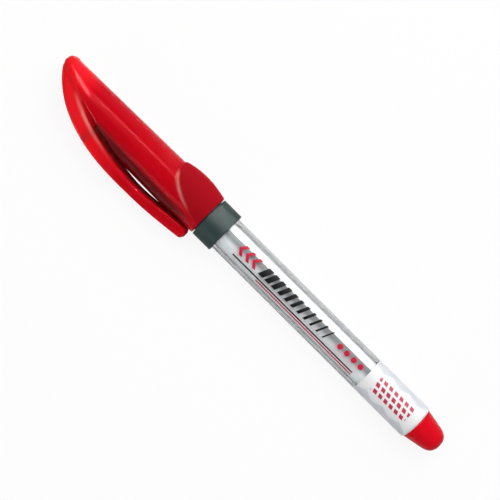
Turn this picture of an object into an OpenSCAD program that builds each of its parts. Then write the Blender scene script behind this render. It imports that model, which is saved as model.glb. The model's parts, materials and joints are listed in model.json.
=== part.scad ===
// Permanent marker with a clear barrel, a scooped cap and a moulded pocket clip.
// The pen lies level on a table: +X runs from the rear plug to the cap's tip and +Z is up.
// The clip leans down towards +Y, so its outer corner touches the table beside the cap.
// The origin is on the pen's axis, half way along the bare stretch of the barrel.

/* [Barrel] */
// Outer diameter of the clear barrel
barrel_d = 10.2; // [8.6:0.1:14]
// Thickness of the barrel's wall
barrel_wall = 0.9; // [0.6:0.05:1.3]
// Bare length of the barrel between the collar and the label
clear_len = 52.4; // [30:0.2:80]
// Chamfer on the barrel's rear rim
barrel_chamfer = 0.4; // [0.1:0.05:0.5]
// Step in from the barrel's side to its front end inside the collar
spigot_step = 0.25; // [0.1:0.05:0.4]

/* [Label] */
// Length of the label film along the barrel
label_len = 17.8; // [8:0.2:25]
// Thickness of the label film
label_t = 0.1; // [0.05:0.05:0.3]
// Depth of the shallow recess that the label lies in
label_recess = 0.05; // [0.02:0.01:0.2]
// Bare barrel left behind the label
label_inset = 0.8; // [0.5:0.1:4]

/* [Rear plug] */
// Length of the plug's dome behind the barrel
plug_len = 8.7; // [4:0.1:14]
// Step from the barrel's side in to the dome's foot
plug_step = 0.5; // [0.4:0.05:0.9]
// Length of the plug's stem inside the barrel
plug_stem_len = 6; // [3:0.5:12]

/* [Front section] */
// Thickness of the collar outside the barrel
collar_wall = 1; // [0.6:0.05:1.8]
// Length of the collar
collar_len = 6.3; // [4:0.1:10]
// Thickness of the wall between the barrel's front end and the collar's front face
collar_web = 0.9; // [0.5:0.1:2]
// Wall of the round seat that the cap pushes over, outside the ink core
seat_wall = 1.08; // [0.7:0.02:1.6]
// Length of that seat in front of the collar
seat_len = 9.4; // [6:0.1:12]
// Step in from the seat to the nose that the inner cap seals on
nose_step = 1.6; // [1.2:0.05:2]
// Length of the straight stretch of the nose
nose_len = 5.5; // [3:0.5:9]
// Length of the cone in front of the nose
nose_cone_len = 6.4; // [3:0.1:10]
// Wall around the nib at the front of the cone
nose_tip_wall = 0.78; // [0.5:0.02:1.2]

/* [Nib and ink] */
// Diameter of the fibre nib
nib_d = 2.4; // [1.4:0.1:2.8]
// Length of nib that shows in front of the cone
nib_out = 4.2; // [2.5:0.1:7]
// Straight length of that nib before it tapers
nib_shoulder = 1; // [0.4:0.1:2]
// Diameter of the nib's rounded point
nib_point_d = 0.9; // [0.4:0.1:1.3]
// Length of nib that is pushed into the ink core
nib_in_core = 6; // [2:0.5:20]
// Gap between the barrel's bore and the film around the ink core
core_room = 0.43; // [0.2:0.01:0.8]
// Thickness of the film around the core
film_t = 0.12; // [0.05:0.01:0.15]
// Wall of the seat that the core's front end sits in
core_stop_wall = 1.6; // [1:0.1:3]

/* [Cap] */
// Length of the cap from its mouth to its tip
cap_len = 55.7; // [48:0.1:75]
// Gap between the cap's mouth and the collar
cap_gap = 0.3; // [0.2:0.05:1]
// Wall of the cap's round body around the seat
cap_wall = 1.1; // [0.8:0.05:2]
// Narrowing of the body's radius from its mouth to its tip
cap_taper = 0.55; // [0.1:0.05:1]
// Radius that rounds the tip, seen from the side
tip_r = 2.5; // [1.5:0.1:3]
// Length over which the tip rounds off, seen from above
tip_round_len = 12; // [6:0.5:16]
// Wall between the end of the inner cap's bore and the flat scoop under the clip
scoop_wall = 1.6; // [1:0.1:2.5]
// Slope of the flat scoop
scoop_slope = 17; // [14:0.5:20]
// Bulge of the socket beyond the body's radius
bulge = 0.5; // [0.2:0.05:1]
// Distance from the mouth to the fullest part of the bulge
bulge_at = 3.8; // [2:0.1:6]
// Radius of the bulge's long curve
bulge_curve_r = 21; // [16:0.5:40]
// Lean of the bulge towards the cap's back
bulge_lean = 8.7; // [4:0.1:10]

/* [Inner cap] */
// Thickness of the inner cap's round wall
inner_cap_wall = 0.75; // [0.5:0.05:1]
// Room between the nib's point and the closed end
nib_room = 0.9; // [0.4:0.1:2]
// Thickness of the closed end
inner_cap_end = 1; // [0.5:0.1:2]
// Thickness of its flange
inner_cap_flange = 1; // [0.5:0.1:1.2]
// Gap between the seat's front edge and the flange
flange_gap = 0.3; // [0.2:0.05:0.8]

/* [Clip] */
// Gap between the cap's body and the clip at the clip's fullest place
clip_gap = 2; // [1:0.1:4]
// Thickness of the clip at that place
clip_t = 2.8; // [1.6:0.1:4]
// Width of the clip at its root
clip_width = 5.6; // [4:0.1:7]
// Width of the clip at its free end
clip_end_width = 4.8; // [3.5:0.1:6]
// Distance from the cap's mouth to the clip's fullest place
clip_belly = 18.6; // [14:0.2:24]
// Radius of the rounded free end
clip_end_r = 1.45; // [1:0.05:1.7]
// Distance of the free end from the plane of the mouth
clip_end_inset = 0.5; // [0.2:0.1:3]
// Gap between the free end's inner bump and the socket
clip_end_gap = 0.2; // [0.15:0.05:0.8]

/* [Fits] */
// Radial clearance of pieces that slide or turn in each other
run_clear = 0.05; // [0.03:0.01:0.08]
// Radial clearance of pieces that are pressed together
press_clear = 0.02; // [0.01:0.01:0.04]
// Clearance of the fibre core's film in its seat
core_clear = 0.1; // [0.05:0.05:0.2]

/* [Hidden] */
$fn = 96;
// How far a cutting solid reaches past the face that it cuts
over = 1;
// Steps that a curve is drawn in
curve_steps = 16;

// Places along the pen
collar_back = clear_len / 2;
collar_front = collar_back + collar_len;
barrel_front = collar_front - collar_web;
label_front = -clear_len / 2;
label_back = label_front - label_len;
barrel_back = label_back - label_inset;
seat_front = collar_front + seat_len;
nose_front = seat_front + nose_len;
cone_front = nose_front + nose_cone_len;
nib_front = cone_front + nib_out;
core_front = seat_front - core_stop_wall;
core_back = barrel_back + plug_stem_len;
nib_back = core_front - nib_in_core;
mouth = collar_front + cap_gap;

// Radii of the barrel's pieces
barrel_r = barrel_d / 2;
bore_r = barrel_r - barrel_wall;
label_seat_r = barrel_r - label_recess;
spigot_r = barrel_r - spigot_step;
collar_r = barrel_r + collar_wall;
film_r = bore_r - core_room;
core_r = film_r - film_t;
core_hole_r = film_r + core_clear;
seat_r = core_hole_r + seat_wall;
nose_r = seat_r - nose_step;
nib_r = nib_d / 2;
nose_tip_r = nib_r + press_clear + nose_tip_wall;
plug_r = barrel_r - plug_step;

// Places inside the cap, measured from its mouth towards its tip
flange_back = seat_front + flange_gap - mouth;
flange_front = flange_back + inner_cap_flange;
inner_cap_front = nib_front + nib_room + inner_cap_end - mouth;
socket_bore_r = seat_r + run_clear;
seal_r = nose_r + run_clear;
inner_cap_r = seal_r + inner_cap_wall;
inner_bore_r = inner_cap_r + run_clear;
cap_r = socket_bore_r + cap_wall;
cap_tip_r = cap_r - cap_taper;
clip_out = cap_r + clip_gap + clip_t;

// The bulge leans back from the middle of the mouth
bulge_r = cap_r + bulge;
bulge_centre = bulge_r - bulge_curve_r;
function bulge_radius(along) = bulge_centre + sqrt(pow(bulge_curve_r, 2) - pow(along - bulge_at, 2));
bulge_inner_r = cap_r / 2;
bulge_front = bulge_at + sqrt(pow(bulge_curve_r, 2) - pow(bulge_inner_r - bulge_centre, 2));
bulge_back = -2 * over;

// The clip's side outline: two curves from the cap's tip to the belly, then two to the free end.
// A curve leaves its start at a slope and reaches the belly level; lead and run are its handles.
nose_centre = [cap_len - tip_r, tip_r - cap_tip_r];
outer_slope = 45;
chin_len = 1.25;
outer_start = nose_centre + tip_r * [sin(outer_slope), cos(outer_slope)]
              + chin_len * [-cos(outer_slope), sin(outer_slope)];
outer_lead_ratio = 0.39;
outer_run_ratio = 0.49;
crease_back = 1.2;
crease_drop = 0.25;
inner_start = nose_centre - [crease_back, crease_drop];
inner_slope = 41;
inner_lead_ratio = 0.46;
inner_run_ratio = 0.34;
belly_outer = [clip_belly, clip_out];
belly_inner = [clip_belly, clip_out - clip_t];
function bezier(a, b, c, d, t) =
    pow(1 - t, 3) * a + 3 * pow(1 - t, 2) * t * b + 3 * (1 - t) * t * t * c + pow(t, 3) * d;
function rising(start, slope, lead, run, finish, t) =
    let (span = start.x - finish.x)
    bezier(start, start + lead * span * [-cos(slope), sin(slope)], finish + [run * span, 0], finish, t);
function outer_curve(t) = rising(outer_start, outer_slope, outer_lead_ratio, outer_run_ratio, belly_outer, t);
function inner_curve(t) = rising(inner_start, inner_slope, inner_lead_ratio, inner_run_ratio, belly_inner, t);

// The free end is a round bead whose bump stands just off the socket
end_centre = [clip_end_inset + clip_end_r, cap_r + bulge / 2 + clip_end_gap + clip_end_r];
end_top = end_centre + [0, clip_end_r];
end_bump = end_centre - [0, clip_end_r];
tail = belly_outer.x - end_centre.x;
end_rise = 0.6;
over_lead_ratio = 0.4;
over_run_ratio = 0.3;
under_ratio = 0.35;
function outer_tail(t) =
    bezier(belly_outer, belly_outer - [over_lead_ratio * tail, 0],
           end_top + [over_run_ratio * tail, end_rise], end_top, t);
function inner_tail(t) =
    bezier(end_bump, end_bump + [under_ratio * tail, 0],
           belly_inner - [under_ratio * tail, 0], belly_inner, t);

// The clip bends at its root, where a round knuckle sits in a round seat behind the cap's tip
root_outer_ratio = 0.25;
root_inner_ratio = 0.22;
root_outer = outer_curve(root_outer_ratio);
root_inner = inner_curve(root_inner_ratio);
knuckle = (root_outer + root_inner) / 2;
knuckle_r = norm(root_outer - root_inner) / 2;
// The place of the bend, which the clip's joint needs
echo(knuckle_x = mouth + knuckle.x, knuckle_out = knuckle.y, knuckle_r = knuckle_r);

// The flat scoop under the clip ends at the slot's root, just in front of the knuckle's lip
slot_lip = 0.6;
slot_root_x = root_inner.x + slot_lip;
function scoop_height(x) = inner_bore_r + scoop_wall - (x - inner_cap_front) * tan(scoop_slope);

// The clip dips until its corner is as low as the fullest part of the socket
clip_half = clip_width / 2;
clip_dip = asin(bulge_r / norm([clip_out, clip_half])) - atan2(clip_half, clip_out);
// The dip sets the direction of the bend's axis
echo(clip_dip = clip_dip, mouth = mouth, tip = mouth + cap_len, rear = barrel_back - plug_len);

// A straight rod or a cone along the pen, from one place to another
module rod(from, to, r, r_to = undef) {
    translate([from, 0, 0]) rotate([0, 90, 0])
        cylinder(h = to - from, r1 = r, r2 = is_undef(r_to) ? r : r_to);
}

// A solid turned from a half outline whose points are [radius, place]
module turned(outline) {
    rotate([0, 90, 0]) rotate_extrude() polygon(outline);
}

// Puts what is drawn from the mouth, with the clip along Y, where the capped pen has it
module cap_place() {
    rotate([-clip_dip, 0, 0]) translate([mouth, 0, 0]) children();
}

// A side outline of the cap, made as wide as given
module side_slab(outline, width) {
    translate([0, 0, -width / 2]) linear_extrude(width) polygon(outline);
}

// An outline seen from the clip's side, made deep enough to pass through the whole cap
module plan_slab(outline) {
    depth = 2 * (clip_out + cap_r);
    translate([0, depth / 2, 0]) rotate([90, 0, 0]) linear_extrude(depth) polygon(outline);
}

module barrel() {
    color([0.86, 0.9, 0.92, 0.45]) difference() {
        union() {
            rod(label_front, collar_back, barrel_r);
            rod(collar_back, barrel_front, spigot_r);
            rod(label_back, label_front, label_seat_r);
            rod(barrel_back + barrel_chamfer, label_back, barrel_r);
            rod(barrel_back, barrel_back + barrel_chamfer, barrel_r - barrel_chamfer, barrel_r);
        }
        rod(barrel_back - over, barrel_front + over, bore_r);
    }
}

module label() {
    color("white") difference() {
        rod(label_back, label_front, label_seat_r + label_t);
        rod(label_back - over, label_front + over, label_seat_r);
    }
}

// A red half-ellipsoid dome with a hollow stem pressed into the barrel
module rear_plug() {
    stem_r = bore_r - press_clear;
    stem_hollow_r = stem_r / 2;
    dome = [for (i = [0:curve_steps]) let (a = 90 * i / curve_steps)
            [plug_r * cos(a), barrel_back - plug_len * sin(a)]];
    color("crimson") difference() {
        union() {
            turned(concat([[0, barrel_back]], dome));
            rod(barrel_back - over / 2, core_back, stem_r);
        }
        rod(barrel_back, core_back + over, stem_hollow_r);
    }
}

// A dark collar over the barrel's front end, the seat for the cap, and the nose that grips the nib
module front_section() {
    color([0.24, 0.29, 0.28]) difference() {
        union() {
            rod(collar_back, collar_front, collar_r);
            rod(collar_front - over / 2, seat_front, seat_r);
            rod(seat_front - over / 2, nose_front, nose_r);
            rod(nose_front, cone_front, nose_r, nose_tip_r);
        }
        rod(collar_back - over, barrel_front, spigot_r + press_clear);
        rod(barrel_front - over, core_front, core_hole_r);
        rod(core_front - over, cone_front + over, nib_r + press_clear);
    }
}

module nib() {
    point_r = nib_point_d / 2;
    shoulder = cone_front + nib_shoulder;
    point = [for (i = [0:curve_steps]) let (a = 90 * i / curve_steps)
             [point_r * cos(a), nib_front - point_r + point_r * sin(a)]];
    color("firebrick") turned(concat([[0, nib_back], [nib_r, nib_back], [nib_r, shoulder]], point));
}

module ink_core() {
    color("indianred") difference() {
        rod(core_back, core_front, core_r);
        rod(nib_back, core_front + over, nib_r + press_clear);
    }
}

module core_film() {
    color("whitesmoke") difference() {
        rod(core_back, core_front, film_r);
        rod(core_back - over, core_front + over, core_r);
    }
}

// A thimble that seals on the nose, held in the cap by its flange
module inner_cap() {
    color("mistyrose") cap_place() difference() {
        union() {
            rod(flange_back, flange_front, socket_bore_r - run_clear);
            rod(flange_front - inner_cap_flange / 2, inner_cap_front, inner_cap_r);
        }
        rod(flange_back - over, inner_cap_front - inner_cap_end, seal_r);
    }
}

// The round body of the cap with its flat scoop, the keel at its tip and the socket at its mouth
module cap_shell() {
    nose = [for (i = [0:curve_steps]) let (a = -90 + (180 - outer_slope) * i / curve_steps)
            nose_centre + tip_r * [cos(a), sin(a)]];
    front = [for (i = [0:curve_steps]) outer_curve(root_outer_ratio * i / curve_steps)];
    crease = [for (i = [0:curve_steps]) inner_curve(root_inner_ratio * (1 - i / curve_steps))];
    chin = [for (i = [0:curve_steps]) let (a = (90 - outer_slope) * i / curve_steps)
            nose_centre + tip_r * [cos(a), sin(a)]];
    wide = 4 * cap_r;
    clear_x = inner_cap_front - cap_r;
    top = scoop_height(clear_x);
    body = concat([[-over, -wide / 2], [nose_centre.x, -wide / 2]], nose, front,
                  [root_inner, [slot_root_x, scoop_height(slot_root_x)], [clear_x, top], [-over, top]]);
    keel = concat(chin, front, crease);
    round_from = cap_len - tip_round_len;
    plan_half = [for (i = [0:curve_steps]) let (a = 90 * i / curve_steps)
                 [round_from + tip_round_len * sin(a), (cap_r + over / 2) * cos(a)]];
    plan_mirror = [for (i = [curve_steps:-1:0]) [plan_half[i].x, -plan_half[i].y]];
    plan = concat([[-over, cap_r + over / 2]], plan_half, plan_mirror, [[-over, -cap_r - over / 2]]);
    swell = [for (i = [0:curve_steps]) let (along = bulge_back + (bulge_front - bulge_back) * i / curve_steps)
             [bulge_radius(along), along]];
    color("crimson") cap_place() difference() {
        union() {
            intersection() {
                union() {
                    intersection() {
                        rod(0, cap_len, cap_r, cap_tip_r);
                        side_slab(body, wide);
                    }
                    side_slab(keel, clip_width);
                }
                plan_slab(plan);
            }
            intersection() {
                rotate([0, 0, -bulge_lean]) turned(concat([[0, bulge_back]], swell, [[0, bulge_front]]));
                rod(0, cap_len, 2 * cap_r);
            }
        }
        rod(-over, flange_front, socket_bore_r);
        rod(flange_front - over, inner_cap_front, inner_bore_r);
        translate([knuckle.x, knuckle.y, 0]) cylinder(h = wide, r = knuckle_r + run_clear, center = true);
    }
}

// A bowed strip that springs from its knuckle behind the cap's tip and ends in a round bead
module pocket_clip() {
    outer = [for (i = [0:curve_steps]) let (t = i / curve_steps)
             outer_curve(root_outer_ratio * (1 - t) + t)];
    inner = [for (i = [0:curve_steps]) let (t = i / curve_steps)
             inner_curve(1 - t + root_inner_ratio * t)];
    over_tail = [for (i = [1:curve_steps]) outer_tail(i / curve_steps)];
    under_tail = [for (i = [0:curve_steps - 1]) inner_tail(i / curve_steps)];
    bead = [for (i = [1:curve_steps - 1]) let (a = 90 + 180 * i / curve_steps)
            end_centre + clip_end_r * [cos(a), sin(a)]];
    root_x = knuckle.x + knuckle_r + over;
    end_half = clip_end_width / 2;
    rounding = [for (i = [0:curve_steps]) let (a = -90 + 180 * i / curve_steps)
                [clip_end_inset + clip_end_r * (1 - cos(a)), end_half * sin(a)]];
    color("crimson") cap_place() intersection() {
        union() {
            side_slab(concat(outer, over_tail, bead, under_tail, inner), clip_width);
            translate([knuckle.x, knuckle.y, 0]) cylinder(h = clip_width, r = knuckle_r, center = true);
        }
        plan_slab(concat(rounding, [[root_x, clip_half], [root_x, -clip_half]]));
    }
}

barrel();
label();
rear_plug();
front_section();
nib();
ink_core();
core_film();
inner_cap();
cap_shell();
pocket_clip();
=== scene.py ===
"""A permanent marker with a clear barrel, a dark front section, a red plug, and a red cap with a clip."""
import json
import math

import bmesh
import bpy
import numpy as np
from mathutils import Matrix, Vector


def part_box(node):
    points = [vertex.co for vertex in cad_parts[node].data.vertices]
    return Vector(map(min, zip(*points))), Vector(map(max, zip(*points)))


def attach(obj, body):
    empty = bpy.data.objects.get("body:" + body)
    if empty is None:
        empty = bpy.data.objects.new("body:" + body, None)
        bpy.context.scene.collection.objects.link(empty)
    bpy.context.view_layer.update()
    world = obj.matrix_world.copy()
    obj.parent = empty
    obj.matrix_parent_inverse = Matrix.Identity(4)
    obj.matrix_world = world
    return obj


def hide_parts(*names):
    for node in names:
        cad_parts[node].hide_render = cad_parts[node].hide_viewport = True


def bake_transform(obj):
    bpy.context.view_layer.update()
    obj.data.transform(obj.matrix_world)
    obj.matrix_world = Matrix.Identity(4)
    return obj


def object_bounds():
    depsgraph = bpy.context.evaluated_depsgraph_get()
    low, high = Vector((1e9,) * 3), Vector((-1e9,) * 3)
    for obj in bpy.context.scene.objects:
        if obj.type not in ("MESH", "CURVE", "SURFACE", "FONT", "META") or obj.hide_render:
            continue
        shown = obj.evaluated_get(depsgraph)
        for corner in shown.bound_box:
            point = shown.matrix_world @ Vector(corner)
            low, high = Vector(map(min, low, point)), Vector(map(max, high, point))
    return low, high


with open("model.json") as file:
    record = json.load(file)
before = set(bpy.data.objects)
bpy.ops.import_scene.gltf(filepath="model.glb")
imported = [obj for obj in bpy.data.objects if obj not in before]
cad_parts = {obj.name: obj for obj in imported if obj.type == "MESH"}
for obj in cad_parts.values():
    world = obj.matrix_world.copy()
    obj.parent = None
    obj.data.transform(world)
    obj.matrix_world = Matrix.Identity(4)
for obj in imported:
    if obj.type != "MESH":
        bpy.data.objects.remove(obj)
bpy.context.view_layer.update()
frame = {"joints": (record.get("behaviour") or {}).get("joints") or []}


# Ink core
# A rod of bonded polyester fibre, soaked with red ink. It is pushed into the front section at one end and
# stands on the plug's stem at the other. Its front end is bored for the tail of the nib.
MM = 0.001
AROUND = 144
FILLET_STEPS = 5
ON_AXIS = 1e-6
NIB_ROOM = 1.22
NIB_BORE_LEN = 6
CORE_EDGE = 0.15
NIB_BORE_EDGE = 0.1
CORE_FIBRES_PER_MM = 6
STREAKS_PER_MM = 0.25
FIBRE_RELIEF = 0.08
INK_RED = (0.34, 0.008, 0.02, 1)
INK_RED_DRY = (0.52, 0.03, 0.05, 1)


def reach(node):
    """The lowest and the highest corner of a piece of the frame, in millimetres."""
    low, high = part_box(node)
    return low / MM, high / MM


def softened(corners, closed):
    """Points and normals of an outline whose corners are (along, radius, fillet).

    A corner with no fillet is a point of a smooth curve. The solid lies to the right of the way along.
    """
    path = [np.array(corner[:2], float) for corner in corners]
    points, normals = [], []
    for i, corner in enumerate(corners):
        before, after = path[i - 1], path[(i + 1) % len(path)]
        if not closed and i == 0:
            before = 2 * path[0] - path[1]
        if not closed and i == len(path) - 1:
            after = 2 * path[-1] - path[-2]
        way_in = (path[i] - before) / np.linalg.norm(path[i] - before)
        way_out = (after - path[i]) / np.linalg.norm(after - path[i])
        angle_in = math.atan2(way_in[0], -way_in[1])
        turn = math.atan2(way_in[0] * way_out[1] - way_in[1] * way_out[0], way_in @ way_out)
        fillet = corner[2]
        if not fillet:
            middle = angle_in + turn / 2
            points.append(path[i])
            normals.append((math.cos(middle), math.sin(middle)))
            continue
        side = -1 if turn > 0 else 1
        start = path[i] - fillet * math.tan(abs(turn) / 2) * way_in
        centre = start - side * fillet * np.array([math.cos(angle_in), math.sin(angle_in)])
        for step in range(FILLET_STEPS + 1):
            angle = angle_in + turn * step / FILLET_STEPS
            normal = np.array([math.cos(angle), math.sin(angle)])
            points.append(centre + side * fillet * normal)
            normals.append(normal)
    return points, normals


def round_axis(along, radius, angle):
    """A place round the pen's axis, in metres. The angle starts at the top."""
    return (along * MM, radius * math.sin(angle) * MM, radius * math.cos(angle) * MM)


def turned(name, corners, closed=True):
    """A piece turned about the pen's axis from an outline. An open outline starts and ends on the axis."""
    outline, slopes = softened(corners, closed)
    mesh = bmesh.new()
    rings, normals = [], []
    for (along, radius), (lean, out) in zip(outline, slopes):
        on_axis = radius <= ON_AXIS
        ring = []
        for i in range(1 if on_axis else AROUND):
            angle = 2 * math.pi * i / AROUND
            ring.append(mesh.verts.new(round_axis(along, radius, angle)))
            if on_axis:
                normals.append((math.copysign(1, lean), 0, 0))
            else:
                normals.append((lean, out * math.sin(angle), out * math.cos(angle)))
        rings.append(ring)
    following = rings[1:] + rings[:1] if closed else rings[1:]
    for one, two in zip(rings, following):
        for i in range(AROUND):
            j = i + 1
            loop = [one[i % len(one)], two[i % len(two)], two[j % len(two)], one[j % len(one)]]
            mesh.faces.new(list(dict.fromkeys(loop)))
    return made_piece(name, mesh, normals)


def made_piece(name, mesh, normals=None):
    """Turns a bmesh into a smooth piece of the scene, with the given normal at each of its points."""
    data = bpy.data.meshes.new(name)
    mesh.to_mesh(data)
    mesh.free()
    data.shade_smooth()
    if normals is not None:
        data.normals_split_custom_set_from_vertices([tuple(normal) for normal in normals])
    piece = bpy.data.objects.new(name, data)
    bpy.context.scene.collection.objects.link(piece)
    return piece


class Tone:
    """One socket in a material. Sums, products and comparisons of tones add Math nodes to the same tree."""

    def __init__(self, tree, socket):
        self.tree = tree
        self.socket = socket

    def node(self, kind, settings=None, sockets=None, output=0):
        """Adds a node, sets its settings and then its sockets, and gives back one of its outputs."""
        made = self.tree.nodes.new("ShaderNode" + kind)
        for name, value in (settings or {}).items():
            setattr(made, name, value)
        for name, value in (sockets or {}).items():
            if isinstance(value, Tone):
                self.tree.links.new(value.socket, made.inputs[name])
            else:
                made.inputs[name].default_value = value
        return Tone(self.tree, made.outputs[output])

    def math(self, operation, *values):
        """A Math node on these values."""
        return self.node("Math", {"operation": operation}, dict(enumerate(values)))

    def __add__(self, other):
        return self.math("ADD", self, other)

    def __sub__(self, other):
        return self.math("SUBTRACT", self, other)

    def __rsub__(self, other):
        return self.math("SUBTRACT", other, self)

    def __mul__(self, other):
        return self.math("MULTIPLY", self, other)

    def __truediv__(self, other):
        return self.math("DIVIDE", self, other)

    def __pow__(self, other):
        return self.math("POWER", self, other)

    def __lt__(self, other):
        return self.math("LESS_THAN", self, other)

    def __gt__(self, other):
        return self.math("GREATER_THAN", self, other)

    def __abs__(self):
        return self.math("ABSOLUTE", self)

    __radd__ = __add__
    __rmul__ = __mul__

    def repeated(self, length):
        """The place within a stretch that repeats along this value."""
        return self.math("FLOORED_MODULO", self, length)

    def rising(self, low, high):
        """Runs smoothly from 0 to 1 as this value goes from low to high."""
        settings = {"interpolation_type": "SMOOTHSTEP"}
        return self.node("MapRange", settings, {"Value": self, "From Min": low, "From Max": high})

    def between(self, first, second):
        """The colour from first to second, with this value as the share of the second."""
        return self.node("Mix", {"data_type": "RGBA"}, {0: self, 6: first, 7: second}, output=2)

    def stretched(self, along, across, up):
        """This vector with its three parts made longer or shorter."""
        return self.node("VectorMath", {"operation": "MULTIPLY"}, {0: self, 1: (along, across, up)})

    def noise(self, cells_per_mm, detail=2.0):
        """Smooth noise at this place, from 0 to 1."""
        return self.node("TexNoise", None, {"Vector": self, "Scale": cells_per_mm, "Detail": detail})

    def along(self, way):
        """How far this place lies along a direction."""
        return self.node("VectorMath", {"operation": "DOT_PRODUCT"}, {0: self, 1: way}, output="Value")

    def parts(self):
        """The three parts of this vector."""
        split = self.node("SeparateXYZ", None, {0: self}).socket.node
        return [Tone(self.tree, socket) for socket in split.outputs]

    def bumps(self, height):
        """A normal for a surface that this value raises by the given height in millimetres."""
        return self.node("Bump", None, {"Height": self, "Strength": 1.0, "Distance": height * MM})


class Finish:
    """A material with one Principled shader. It gives the place on the piece in millimetres."""

    def __init__(self, name, constants):
        self.material = bpy.data.materials.new(name)
        self.material.use_nodes = True
        self.tree = self.material.node_tree
        self.shader = self.tree.nodes["Principled BSDF"]
        for socket, value in constants.items():
            self.shader.inputs[socket].default_value = value
        place = Tone(self.tree, None).node("TexCoord", output="Object")
        self.place = place.stretched(1 / MM, 1 / MM, 1 / MM)

    def set(self, socket, tone):
        """Feeds a socket of the shader."""
        self.tree.links.new(tone.socket, self.shader.inputs[socket])

    def fed(self, socket):
        """What feeds a socket of the shader so far."""
        return Tone(self.tree, self.shader.inputs[socket].links[0].from_socket)

    def dress(self, piece):
        """Makes this the only material of a piece."""
        piece.data.materials.clear()
        piece.data.materials.append(self.material)


core_low, core_high = reach("ink_core")
core_r = core_high.z
core = turned("ink_core_rod", [
    (core_low.x, 0, 0),
    (core_low.x, core_r, CORE_EDGE),
    (core_high.x, core_r, CORE_EDGE),
    (core_high.x, NIB_ROOM, NIB_BORE_EDGE),
    (core_high.x - NIB_BORE_LEN, NIB_ROOM, NIB_BORE_EDGE),
    (core_high.x - NIB_BORE_LEN, 0, 0),
], closed=False)


def fibre_finish(name, wet, dry, fibres_per_mm):
    """Bonded fibres that run along the pen, wet with ink in streaks."""
    finish = Finish(name, {"Specular IOR Level": 0.35})
    strands = finish.place.stretched(STREAKS_PER_MM, fibres_per_mm, fibres_per_mm).noise(1.0, 3.0)
    finish.set("Base Color", strands.rising(0.35, 0.65).between(wet, dry))
    finish.set("Roughness", 0.45 + 0.3 * strands)
    finish.set("Normal", strands.bumps(FIBRE_RELIEF))
    return finish


fibre_finish("inked_core_fibre", INK_RED, INK_RED_DRY, CORE_FIBRES_PER_MM).dress(core)
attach(core, "pen")
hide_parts("ink_core")


# Core film
# A thin white film that is rolled once round the core and welded along its overlap, so the core stays dry
# to the touch. The overlap is two layers thick and looks whiter. Beside its lifted edge a grey band of shade
# is painted, and another on the film's far side.
FILM_T = 0.11
FILM_STEP = 0.05
FILM_RELIEF = 0.006
SHARP_ANGLE = math.radians(30)
FILM_WHITE = (0.97, 0.975, 0.98, 1)
FILM_PALE = (0.92, 0.945, 0.96, 1)
FILM_GREY = (0.86, 0.89, 0.91, 1)
FILM_SHADE = (0.23, 0.24, 0.245, 1)

# Angles round the pen start at the top, and LEAN is the turn from there to the camera's side
LEAN = math.radians(6.5)
SEAM_FROM = math.radians(-63) + LEAN
SEAM_TO = math.radians(-21) + LEAN
SHADE_WHOLE = math.radians(-6) + LEAN
SHADE_TO = math.radians(19) + LEAN
FAR_SHADE_TO = math.radians(-95) + LEAN

film_low, film_high = reach("core_film")
film_r = film_high.z


def rolled_film():
    """A film rolled to a tube: its radius grows by one step round the turn, and ends in the lap's edge."""
    mesh = bmesh.new()
    ends = []
    for along in (film_low.x, film_high.x):
        outer, inner = [], []
        for i in range(AROUND + 1):
            angle = SEAM_TO + 2 * math.pi * i / AROUND
            out = film_r - FILM_STEP * (1 - i / AROUND)
            for row, radius in ((outer, out), (inner, film_r - FILM_T)):
                row.append(mesh.verts.new(round_axis(along, radius, angle)))
        inner[-1] = inner[0]
        ends.append((outer, inner))
    (outer_a, inner_a), (outer_b, inner_b) = ends
    for i in range(AROUND):
        mesh.faces.new((outer_a[i], outer_a[i + 1], outer_b[i + 1], outer_b[i]))
        mesh.faces.new((inner_a[i + 1], inner_a[i], inner_b[i], inner_b[i + 1]))
        mesh.faces.new((inner_a[i], inner_a[i + 1], outer_a[i + 1], outer_a[i]))
        mesh.faces.new((inner_b[i + 1], inner_b[i], outer_b[i], outer_b[i + 1]))
    mesh.faces.new((outer_a[0], outer_b[0], outer_b[-1], outer_a[-1]))
    bmesh.ops.delete(mesh, geom=[v for v in mesh.verts if not v.link_faces], context="VERTS")
    bmesh.ops.recalc_face_normals(mesh, faces=mesh.faces)
    return made_piece("rolled_core_film", mesh)


film = rolled_film()
film.data.set_sharp_from_angle(angle=SHARP_ANGLE)


def film_finish():
    """White film, whiter where it laps, with painted shade: grey bands beside the lap's edge and on the far
    side.
    """
    finish = Finish("white_core_film", {"Specular IOR Level": 0.15})
    _, across, up = finish.place.parts()
    angle = across.math("ARCTAN2", across, up)
    # Painted shade: a grey band beside the lap's lifted edge, and another on the film's far side
    shade = (angle > SEAM_TO) * (1 - angle.rising(SHADE_WHOLE, SHADE_TO))
    far_shade = (angle < SEAM_FROM) * angle.rising(FAR_SHADE_TO, SEAM_FROM)
    lap = (angle > SEAM_FROM) * (angle < SEAM_TO)
    cloud = finish.place.stretched(0.15, 1, 1).noise(0.6, 3.0)
    plain = cloud.rising(0.2, 0.8).between(FILM_GREY, FILM_PALE)
    shaded = (shade + far_shade).between(plain, FILM_SHADE)
    finish.set("Base Color", lap.between(shaded, FILM_WHITE))
    finish.set("Roughness", 0.22 + 0.15 * cloud)
    finish.set("Normal", cloud.bumps(FILM_RELIEF))
    return finish


film_finish().dress(film)
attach(film, "pen")
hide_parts("core_film")


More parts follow.
